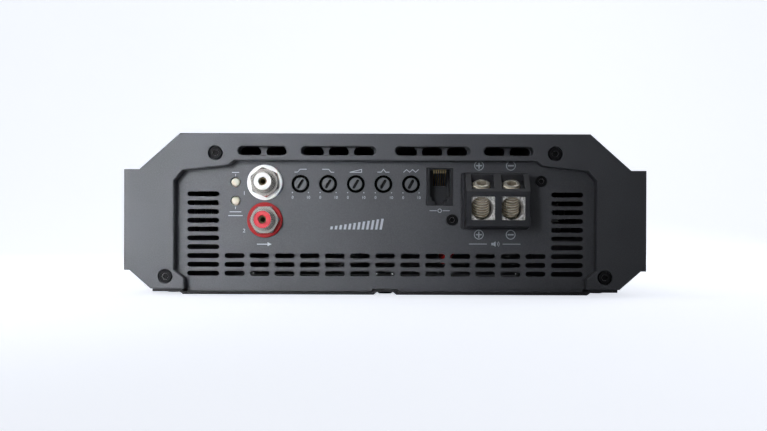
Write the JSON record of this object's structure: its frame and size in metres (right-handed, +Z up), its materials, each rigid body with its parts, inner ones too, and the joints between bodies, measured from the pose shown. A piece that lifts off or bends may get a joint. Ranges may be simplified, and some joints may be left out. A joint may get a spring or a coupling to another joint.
{
  "type": "car amplifier",
  "caption": "Car audio power amplifier: extruded heatsink case, slotted end panels, phono inputs, tuning dials, lamps, remote socket and angled clamp terminals.",
  "frame": {"origin": "middle of the footprint on the surface the amplifier rests on", "axes": "+Y runs along the case from the control end to the supply end, +X is to the right seen from the control end, +Z is up"},
  "size_m": [0.23, 0.352, 0.071],
  "materials": {
    "heatsink_black": "black anodised",
    "bezel_grey": "satin powder coat",
    "panel_grey": "fine texture",
    "base_plate_black": "satin",
    "black_screw": "black oxide",
    "zinc_steel": "zinc plated",
    "plated_brass": "plated",
    "nickel": "nickel plated",
    "clamp_steel": "nickel plated thread",
    "epoxy_black": "moulded",
    "pad_grey": "matt",
    "white_plastic": "semi gloss",
    "red_plastic": "semi gloss",
    "dial_body": "moulded",
    "dial_grey": "moulded",
    "lamp_lens": "diffused",
    "socket_black": "moulded",
    "terminal_black": "moulded",
    "board_green": "solder mask",
    "ferrite": "coated ring",
    "iron_powder": "coated ring",
    "enamelled_copper": "enamel",
    "can_sleeve": "shrink sleeve",
    "film_box": "boxed film",
    "lead_red": "PVC",
    "lead_black": "PVC",
    "lead_blue": "PVC"
  },
  "bodies": {
    "case": {"base_plate": "base_plate_black", "base_screws": "black_screw", "bezel_screws": "black_screw", "board_link": "socket_black", "board_screws": "zinc_steel", "board_spacers": "plated_brass", "clamp_bars": "black_screw", "clamp_screws": "black_screw", "control_bezel": "bezel_grey", "control_board": "board_green", "control_panel": "panel_grey", "dial_bodies": "dial_body", "driver_board": "board_green", "film_capacitors": "film_box", "heatsink": "heatsink_black", "housing_screws": "black_screw", "insulating_pads": "pad_grey", "main_board": "board_green", "mounting_inserts": "zinc_steel", "output_core": "iron_powder", "output_winding": "enamelled_copper", "phono_contacts": "plated_brass", "phono_insert_red": "red_plastic", "phono_insert_white": "white_plastic", "phono_nuts": "nickel", "phono_shells": "nickel", "phono_washer_red": "red_plastic", "phono_washer_white": "white_plastic", "power_lamp": "lamp_lens", "power_transistors": "epoxy_black", "protection_lamp": "lamp_lens", "remote_socket": "socket_black", "remote_socket_contacts": "plated_brass", "reservoir_capacitors": "can_sleeve", "speaker_housing": "terminal_black", "speaker_negative_block": "nickel", "speaker_negative_lead": "lead_black", "speaker_positive_block": "nickel", "speaker_positive_lead": "lead_red", "supply_bezel": "bezel_grey", "supply_ground_block": "nickel", "supply_ground_lead": "lead_black", "supply_housing": "terminal_black", "supply_panel": "panel_grey", "supply_positive_block": "nickel", "supply_positive_lead": "lead_red", "transformer_cores": "ferrite", "transformer_windings": "enamelled_copper", "turn_on_block": "nickel", "turn_on_lead": "lead_blue"},
    "high_pass_dial": {"high_pass_dial": "dial_grey"},
    "low_pass_dial": {"low_pass_dial": "dial_grey"},
    "gain_dial": {"gain_dial": "dial_grey"},
    "boost_dial": {"boost_dial": "dial_grey"},
    "bass_frequency_dial": {"bass_frequency_dial": "dial_grey"},
    "speaker_positive_screw": {"speaker_positive_screw": "clamp_steel"},
    "speaker_negative_screw": {"speaker_negative_screw": "clamp_steel"},
    "supply_positive_screw": {"supply_positive_screw": "clamp_steel"},
    "supply_ground_screw": {"supply_ground_screw": "clamp_steel"},
    "turn_on_screw": {"turn_on_screw": "clamp_steel"}
  },
  "joints": [
    {"name": "high_pass_dial_turn", "type": "hinge", "parent": "case", "child": "high_pass_dial", "pos_m": [-0.0378, -0.1555, 0.0491], "axis": [0, 1, 0], "range_deg": [0, 300]},
    {"name": "low_pass_dial_turn", "type": "hinge", "parent": "case", "child": "low_pass_dial", "pos_m": [-0.02548, -0.1555, 0.0491], "axis": [0, 1, 0], "range_deg": [0, 300]},
    {"name": "gain_dial_turn", "type": "hinge", "parent": "case", "child": "gain_dial", "pos_m": [-0.01316, -0.1555, 0.0491], "axis": [0, 1, 0], "range_deg": [0, 300]},
    {"name": "boost_dial_turn", "type": "hinge", "parent": "case", "child": "boost_dial", "pos_m": [-0.00084, -0.1555, 0.0491], "axis": [0, 1, 0], "range_deg": [0, 300]},
    {"name": "bass_frequency_dial_turn", "type": "hinge", "parent": "case", "child": "bass_frequency_dial", "pos_m": [0.01148, -0.1555, 0.0491], "axis": [0, 1, 0], "range_deg": [0, 300]},
    {"name": "speaker_positive_screw_travel", "type": "slide", "parent": "case", "child": "speaker_positive_screw", "axis": [0, -0.5, 0.866], "range_m": [0, 0.01]},
    {"name": "speaker_negative_screw_travel", "type": "slide", "parent": "case", "child": "speaker_negative_screw", "axis": [0, -0.5, 0.866], "range_m": [0, 0.01]},
    {"name": "supply_positive_screw_travel", "type": "slide", "parent": "case", "child": "supply_positive_screw", "axis": [0, 0.5, 0.866], "range_m": [0, 0.01]},
    {"name": "supply_ground_screw_travel", "type": "slide", "parent": "case", "child": "supply_ground_screw", "axis": [0, 0.5, 0.866], "range_m": [0, 0.01]},
    {"name": "turn_on_screw_travel", "type": "slide", "parent": "case", "child": "turn_on_screw", "axis": [0, 0.5, 0.866], "range_m": [0, 0.0055]}
  ]
}
